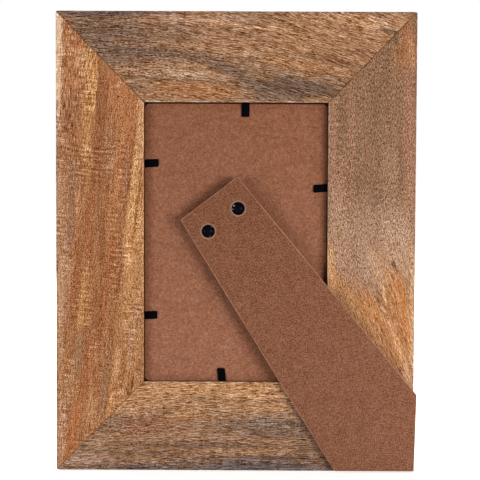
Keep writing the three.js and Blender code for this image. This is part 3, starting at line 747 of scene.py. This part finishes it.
def biscuit_beech(name):
    """Pale beech with its grain at 45 degrees"""
    g = material_graph(name)
    x, depth, z = g.split(g.place())
    grain_place = g.vector(g.times(g.add(x, z), 0.12), g.math("SUBTRACT", x, z), depth)
    lines = g.noise(grain_place, 0.9, detail=3)
    colour = g.tinted(linear(BEECH_TONE), g.swing(lines, 1.2))
    return g.surface(colour, 0.75, specular=0.15, normal=g.bump(lines, 0.04 * MM))


def float_glass(name):
    """Clear glass, which lets light straight through to what is behind it"""
    g = material_graph(name)
    waves = g.noise(g.place(), 60.0, detail=1)
    g.surface(CLEAR_GLASS, 0.02, specular=0.5, normal=g.bump(waves, 0.02 * MM),
              Transmission_Weight=1.0, IOR=1.5)
    glass = g.tree.nodes["Principled BSDF"]
    output = g.tree.nodes["Material Output"]
    path = g.node("ShaderNodeLightPath").outputs
    lamp_or_bounce = g.math("MAXIMUM", path["Is Shadow Ray"], path["Is Diffuse Ray"])
    clear = g.node("ShaderNodeBsdfTransparent", {0: CLEAR_GLASS})
    both = g.node("ShaderNodeMixShader", {0: lamp_or_bounce, 1: glass.outputs[0], 2: clear.outputs[0]})
    g.tree.links.new(both.outputs[0], output.inputs[0])
    return g.owner


def ivory_card(name):
    """Ivory paper with a thin printed keyline, as a plain display insert has"""
    g = material_graph(name)
    x, _, z = g.split(g.place())
    tooth = g.noise(g.place(), 0.35, detail=2)
    cloud = g.noise(g.place(), 14.0, detail=2)
    paper = g.tinted(linear(CARD_TONE), g.add(g.swing(tooth, 0.12), g.swing(cloud, 0.08)))
    half_width = (PANE_HIGH.x - KEYLINE_MARGIN) / MM
    half_height = (PANE_HIGH.z - MIDDLE - KEYLINE_MARGIN) / MM
    from_line = g.math("ABSOLUTE", past_rectangle(g, x, z, half_width, half_height))
    line = g.remap(from_line, 0.4, 0.25)
    colour = g.mix(g.times(line, 0.7), paper, linear(KEYLINE_TONE))
    return g.surface(colour, 0.9, specular=0.15, normal=g.bump(tooth, 0.01 * MM))


# Mesh building

def new_object(name, data):
    made = bpy.data.objects.new(name, data)
    bpy.context.scene.collection.objects.link(made)
    return made


def piece_from(name, mesh, materials, body, replaces):
    """A piece of the object from a finished bmesh"""
    data = bpy.data.meshes.new(name)
    bmesh.ops.recalc_face_normals(mesh, faces=mesh.faces)
    mesh.to_mesh(data)
    mesh.free()
    for material in materials:
        data.materials.append(material)
    piece = new_object(name, data)
    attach(piece, body)
    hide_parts(*replaces)
    return piece


def smooth(piece, angle=30):
    """Smooth shading, with an edge kept sharp where its faces turn by more than the angle"""
    for face in piece.data.polygons:
        face.use_smooth = True
    sharp = math.radians(angle)
    edges = bmesh.new()
    edges.from_mesh(piece.data)
    for edge in edges.edges:
        if edge.is_manifold and edge.calc_face_angle() > sharp:
            edge.smooth = False
    edges.to_mesh(piece.data)
    edges.free()


def arc(centre, radius, start, end, steps):
    """Points round a centre, from one angle to another in degrees"""
    angles = [math.radians(start + (end - start) * i / steps) for i in range(steps + 1)]
    return [(centre[0] + radius * math.cos(a), centre[1] + radius * math.sin(a)) for a in angles]


def add_tube(mesh, rings):
    """Quads from each ring of vertices to the next, then a cap at each end. Gives each band's quads."""
    bands = []
    for near, far in zip(rings, rings[1:]):
        after = [*range(1, len(near)), 0]
        bands.append([mesh.faces.new((near[i], near[j], far[j], far[i])) for i, j in enumerate(after)])
    for cap in (rings[0], rings[-1]):
        mesh.faces.new(cap)
    return bands


def side_section(width, lip):
    """A side across its length: distance from the outer edge inwards, and Y"""
    r = EASED_RADIUS
    points = [(width - REAR_ARRIS, REAR), (width, REAR + REAR_ARRIS), (width, LEDGE), (lip, LEDGE),
              (lip, FRONT - SIGHT_BEVEL), (lip - SIGHT_BEVEL, FRONT)]
    points += arc((r, FRONT - r), r, 90, 180, SECTION_STEPS)
    points += arc((r, REAR + r), r, 180, 270, SECTION_STEPS)
    return points


def off_corner(across, along, half_across, half_along):
    """A point near an outer corner of the frame, moved inwards so that the corner is a quarter round"""
    past_across = across - (half_across - CORNER_ROUND)
    past_along = abs(along) - (half_along - CORNER_ROUND)
    if past_across <= 0 or past_along <= 0:
        return across, along
    shrink = max(past_across, past_along) / math.hypot(past_across, past_along)
    moved_along = half_along - CORNER_ROUND + past_along * shrink
    return half_across - CORNER_ROUND + past_across * shrink, math.copysign(moved_along, along)


def edge_wear(along, inwards, y, upright, sign):
    """How much is worn off a side at a point, most along its outer edges"""
    per_along, per_inwards, per_y = WEAR_SCALE
    through = y * per_y + sign * 7 + upright * 3
    wear = noise.noise(Vector((along * per_along, inwards * per_inwards, through)))
    nearness = max(0.0, 1 - inwards / (2 * EASED_RADIUS))
    return EDGE_WEAR * nearness * (0.5 + 0.5 * wear)


def frame_side(name, upright, sign):
    """One side of the frame. Its mitres run from the outer corners to the corners of the opening."""
    (half_across, wall), (half_along, wall_along) = side_extents(upright)
    lip = LIP_X if upright else LIP_Z
    width = half_across - wall
    mitre = (half_along - wall_along) / width
    stations = 2 * round(half_along / STATION)
    near_ends = [1 - CORNER_ROUND * part / half_along for part in CORNER_STATIONS]
    shares = [2 * station / stations - 1 for station in range(stations + 1)]
    mesh = bmesh.new()
    rings = []
    for share in sorted(shares + near_ends + [-share for share in near_ends]):
        ring = []
        for inwards, y in side_section(width, half_across - lip):
            along = share * (half_along - inwards * mitre - GLUE_LINE / 2)
            across = half_across - inwards - edge_wear(along, inwards, y, upright, sign)
            across, along = off_corner(across, along, half_across, half_along)
            outwards = sign * across
            where = (outwards, y, MIDDLE + along) if upright else (along, y, MIDDLE + outwards)
            ring.append(mesh.verts.new(where))
        rings.append(ring)
    add_tube(mesh, rings)
    piece = piece_from(name + "_wood", mesh, [wood(name, **SIDES[name])], "frame", [name])
    smooth(piece, 32)
    bevel = piece.modifiers.new("eased_mitre", "BEVEL")
    bevel.width = MITRE_EASE
    bevel.segments = 2
    bevel.limit_method = "ANGLE"
    bevel.angle_limit = math.radians(50)


def turn_of(a, b, c):
    """Above zero where the way from a through b to c turns anticlockwise"""
    return (b[0] - a[0]) * (c[1] - a[1]) - (b[1] - a[1]) * (c[0] - a[0])


def outline_of(node):
    """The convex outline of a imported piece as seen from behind, anticlockwise: X and Z pairs"""
    points = sorted({(round(v.co.x, 7), round(v.co.z, 7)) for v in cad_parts[node].data.vertices})

    def chain(ordered):
        kept = []
        for p in ordered:
            while len(kept) > 1 and turn_of(kept[-2], kept[-1], p) <= 1e-12:
                kept.pop()
            kept.append(p)
        return kept[:-1]

    return chain(points) + chain(points[::-1])


def rounded(corners, radius, steps=8):
    """A convex anticlockwise outline with each corner rounded"""
    result = []
    for i, corner in enumerate(corners):
        corner = Vector(corner)
        before = (Vector(corners[i - 1]) - corner).normalized()
        after = (Vector(corners[(i + 1) % len(corners)]) - corner).normalized()
        half = before.angle(after) / 2
        centre = corner + (before + after).normalized() * radius / math.sin(half)
        start = corner + before * radius / math.tan(half) - centre
        end = corner + after * radius / math.tan(half) - centre
        for step in range(steps + 1):
            direction = start.lerp(end, step / steps).normalized()
            result.append(tuple(centre + direction * radius))
    return result


def inset(outline, distance):
    """A convex anticlockwise outline moved inwards by a distance"""
    result = []
    for i, point in enumerate(outline):
        here = Vector(point)
        before = (here - Vector(outline[i - 1])).normalized()
        after = (Vector(outline[(i + 1) % len(outline)]) - here).normalized()
        before_normal = Vector((-before.y, before.x))
        normal = (before_normal + Vector((-after.y, after.x))).normalized()
        result.append(tuple(here + normal * distance / max(0.5, normal.dot(before_normal))))
    return result


def board(outline, rear, front, arris, steps=3):
    """A flat board in X and Z with rounded arrises, which get the second material"""
    mesh = bmesh.new()
    profile = []
    for step in range(steps + 1):
        angle = math.radians(90 * step / steps)
        profile.append((arris * (1 - math.sin(angle)), rear + arris * (1 - math.cos(angle))))
    profile += [(d, rear + front - y) for d, y in reversed(profile)]
    rings = [[mesh.verts.new((x, y, z)) for x, z in inset(outline, d)] for d, y in profile]
    for k, band in enumerate(add_tube(mesh, rings)):
        for face in band:
            face.material_index = 0 if k == steps else 1
    return mesh


def lathe(profile, x, z):
    """A round piece on an axis along Y, from radius and Y pairs that start and end on the axis"""
    mesh = bmesh.new()
    rings = []
    for radius, y in profile:
        around = [(x, z)] if radius == 0 else arc((x, z), radius, 0, 360, ROUND_STEPS)[:-1]
        rings.append([mesh.verts.new((cx, y, cz)) for cx, cz in around])
    for near, far in zip(rings, rings[1:]):
        for i in range(ROUND_STEPS):
            j = (i + 1) % ROUND_STEPS
            corners = [near[i % len(near)], near[j % len(near)], far[j % len(far)], far[i % len(far)]]
            mesh.faces.new(list(dict.fromkeys(corners)))
    return mesh


# The pieces

def rivet_place(node):
    """Where a rivet's head is and its radius, in millimetres from the frame's middle"""
    low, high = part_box(node)
    return (low.x + high.x) / 2 / MM, ((low.z + high.z) / 2 - MIDDLE) / MM, (high.x - low.x) / 2 / MM


def make_backing():
    fibre = hardboard("backing_hardboard", BACKING_TONE, 1.8, 0.0, rim_shade=0.2)
    left = BOARD_LOW.x - BOARD_SPREAD
    right = BOARD_HIGH.x + BOARD_SPREAD
    foot = BOARD_LOW.z - BOARD_SEAT
    top = BOARD_HIGH.z + BOARD_SPREAD
    corners = rounded([(left, foot), (right, foot), (right, top), (left, top)], BOARD_CORNER)
    mesh = board(corners, BOARD_LOW.y, BOARD_HIGH.y, BOARD_ARRIS)
    smooth(piece_from("hardboard_backing", mesh, [fibre, fibre], "frame", ["backing_board"]))


def make_stand():
    low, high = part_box("easel_stand")
    rings = [rivet_place(node) for node in RIVET_GLINTS]
    fibre = hardboard("stand_hardboard", STAND_TONE, 3.7, 50.0, rings)
    mesh = board(outline_of("easel_stand"), low.y, high.y, STAND_ARRIS)
    smooth(piece_from("hardboard_stand", mesh, [fibre, cut_edge("hardboard_edge")], "stand",
                      ["easel_stand"]))


def make_points(material):
    """Each blade gets soft edges, and its root reaches the wood that it comes out of"""
    walls = {"left": (0, -WALL_X), "right": (0, WALL_X),
             "top": (1, MIDDLE + WALL_Z), "bottom": (1, MIDDLE - WALL_Z)}
    for body in ("left_upper", "left_lower", "right_upper", "right_lower", "top", "bottom"):
        node = body + "_point_blade"
        low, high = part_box(node)
        axis, wall = walls[body.split("_")[0]]
        outline = [list(point) for point in outline_of(node)]
        root = min(abs(point[axis] - wall) for point in outline)
        for point in outline:
            if abs(point[axis] - wall) <= root + 1e-6:
                point[axis] = wall
        mesh = board(outline, low.y, high.y, BLADE_ARRIS, steps=2)
        smooth(piece_from(body + "_blade", mesh, [material, material], body + "_point", [node]))


def make_rivets():
    """Domed heads with a thin rolled rim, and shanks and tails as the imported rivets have"""
    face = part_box("easel_stand")[0].y
    for node, glints in RIVET_GLINTS.items():
        low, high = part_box(node)
        x, z = (low.x + high.x) / 2, (low.z + high.z) / 2
        radius = (high.x - low.x) / 2
        base = radius - RIM_WIDTH
        height = face - 0.8 * RIM_WIDTH - low.y
        sphere = (base * base + height * height) / (2 * height)
        sweep = math.degrees(math.asin(base / sphere))
        dome = [(r, low.y + sphere - y) for r, y in arc((0, 0), sphere, 90, 90 - sweep, DOME_STEPS)]
        dome[0] = (0, low.y)
        rim = [(radius - RIM_BREAK, face - 0.7 * RIM_WIDTH), (radius, face - 0.4 * RIM_WIDTH),
               (radius, face)]
        leaf = high.y - TAIL_HEIGHT
        stem = [(SHANK_RADIUS, face), (SHANK_RADIUS, leaf), (TAIL_RADIUS, leaf),
                (TAIL_RADIUS, leaf + TAIL_HEIGHT / 2), (TAIL_RADIUS * TAIL_END, high.y), (0, high.y)]
        gloss = rivet_gloss(node.replace("stand_rivet", "black_gloss"), node, glints)
        mesh = lathe(dome + rim + stem, x, z)
        smooth(piece_from(node + "_domed", mesh, [gloss], "stand", [node]), 40)


def finish_packed_pieces(black):
    """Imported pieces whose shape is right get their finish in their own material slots, by what is
    in their names"""
    steel = zinc("zinc_plate")
    finishes = {
        "glass_pane": float_glass("float_glass"), "insert_card": ivory_card("ivory_card"),
        "hinge_leaf": steel, "hinge_pin": steel, "backing_rivet": steel,
        "_tang": black, "_biscuit": biscuit_beech("pressed_beech"),
    }
    for name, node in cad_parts.items():
        for kind, finish in finishes.items():
            if kind in name:
                node.data.materials.clear()
                node.data.materials.append(finish)


# The stage, the light and the camera

def make_camera():
    data = bpy.data.cameras.new("camera")
    data.lens = CAMERA_LENS
    data.sensor_width = 36
    data.clip_start = 0.05
    data.clip_end = 30
    camera = new_object("camera", data)
    level = math.cos(CAMERA_ELEVATION)
    away = Vector((math.sin(CAMERA_AZIMUTH) * level, -math.cos(CAMERA_AZIMUTH) * level,
                   math.sin(CAMERA_ELEVATION)))
    eye = CAMERA_TARGET + CAMERA_DISTANCE * away
    towards = CAMERA_TARGET + AIM_OFFSET - eye
    turn = towards.to_track_quat("-Z", "Y").to_matrix().to_4x4() @ Matrix.Rotation(CAMERA_ROLL, 4, "Z")
    camera.matrix_world = Matrix.Translation(eye) @ turn
    bpy.context.scene.camera = camera


def make_softbox(name, place, width, height, power):
    """A flat lamp that faces the middle of the frame's back"""
    data = bpy.data.lights.new(name, "AREA")
    data.shape = "RECTANGLE"
    data.size = width
    data.size_y = height
    data.energy = power
    lamp = new_object(name, data)
    lamp.location = place
    lamp.rotation_euler = (CAMERA_TARGET - Vector(place)).to_track_quat("-Z", "Y").to_euler()


def seen_directly(g):
    """1 for rays from the camera, straight, through glass or off a glossy surface"""
    path = g.node("ShaderNodeLightPath").outputs
    straight = g.math("MAXIMUM", path["Is Camera Ray"], path["Is Transmission Ray"])
    return g.math("MAXIMUM", straight, path["Is Glossy Ray"])


def make_world():
    """White where it is seen, and only a faint fill where it lights the object"""
    world = bpy.data.worlds.new("studio")
    bpy.context.scene.world = world
    g = Graph(world)
    fill = g.node("ShaderNodeBackground", {"Color": WHITE, "Strength": AMBIENT})
    white = g.node("ShaderNodeBackground", {"Color": WHITE, "Strength": 1.0})
    shown = g.node("ShaderNodeMixShader", {0: seen_directly(g), 1: fill.outputs[0], 2: white.outputs[0]})
    g.node("ShaderNodeOutputWorld", {0: shown.outputs[0]})


def make_floor():
    """A pale floor that reads as white and keeps the object's shadow"""
    g = material_graph("pale_floor")
    mesh = bmesh.new()
    bmesh.ops.create_grid(mesh, x_segments=1, y_segments=1, size=FLOOR_SIZE)
    data = bpy.data.meshes.new("floor")
    mesh.to_mesh(data)
    mesh.free()
    floor = new_object("floor", data)
    floor.location.z = -FLOOR_DROP
    from_middle = g.length(g.node("ShaderNodeTexCoord").outputs["Object"])
    glow = g.remap(from_middle, *FLOOR_GLOW_RISE, FLOOR_GLOW, 1.0)
    paint = g.node("ShaderNodeBsdfDiffuse", {0: linear(FLOOR_TONE)})
    light = g.node("ShaderNodeEmission", {0: WHITE, 1: g.times(glow, seen_directly(g))})
    both = g.node("ShaderNodeAddShader", {0: paint.outputs[0], 1: light.outputs[0]})
    g.node("ShaderNodeOutputMaterial", {0: both.outputs[0]})
    data.materials.append(g.owner)


bpy.context.scene.view_settings.view_transform = "Standard"
make_camera()
make_world()
make_floor()
for lamp_name, lamp_values in SOFTBOXES.items():
    make_softbox(lamp_name, *lamp_values)
for side_name, side in SIDES.items():
    frame_side(side_name, side["upright"], side["sign"])
black_enamel = enamel("black_enamel")
make_backing()
make_stand()
make_points(black_enamel)
make_rivets()
finish_packed_pieces(black_enamel)
